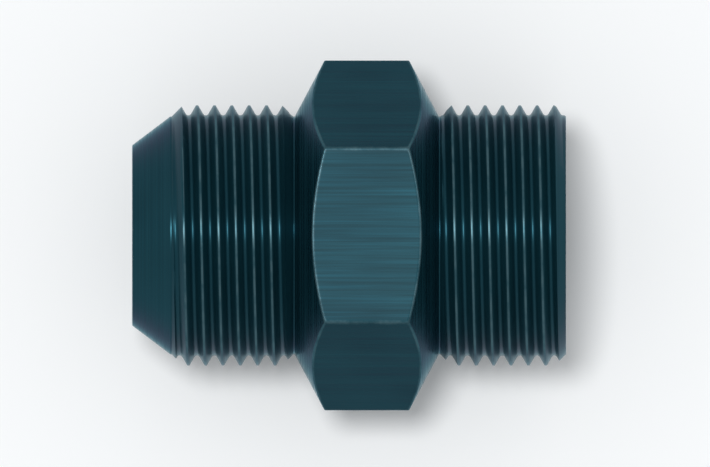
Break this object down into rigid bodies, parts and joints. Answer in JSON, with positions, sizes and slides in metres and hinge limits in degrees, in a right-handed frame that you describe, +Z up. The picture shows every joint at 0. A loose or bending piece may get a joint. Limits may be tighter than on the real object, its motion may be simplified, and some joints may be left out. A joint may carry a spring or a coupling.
{
  "type": "pneumatic orifice valve",
  "caption": "One-piece orifice valve fitting: hexagonal collar, threaded coned inlet end with a wide bore, threaded outlet end pierced by a small metering orifice.",
  "frame": {"origin": "point under the middle of the valve's length, on the plane of the hexagon flat that it rests on", "axes": "+X along the bore axis from the inlet face to the outlet face, +Z up from the resting flat, +Y towards a corner of the hexagon"},
  "size_m": [0.0318, 0.0256, 0.0222],
  "materials": {
    "anodised_aluminium": "dark teal anodised outside, bare machined metal in the bore and the orifice"
  },
  "bodies": {
    "root": {"orifice_valve_body": "anodised_aluminium"}
  },
  "joints": []
}
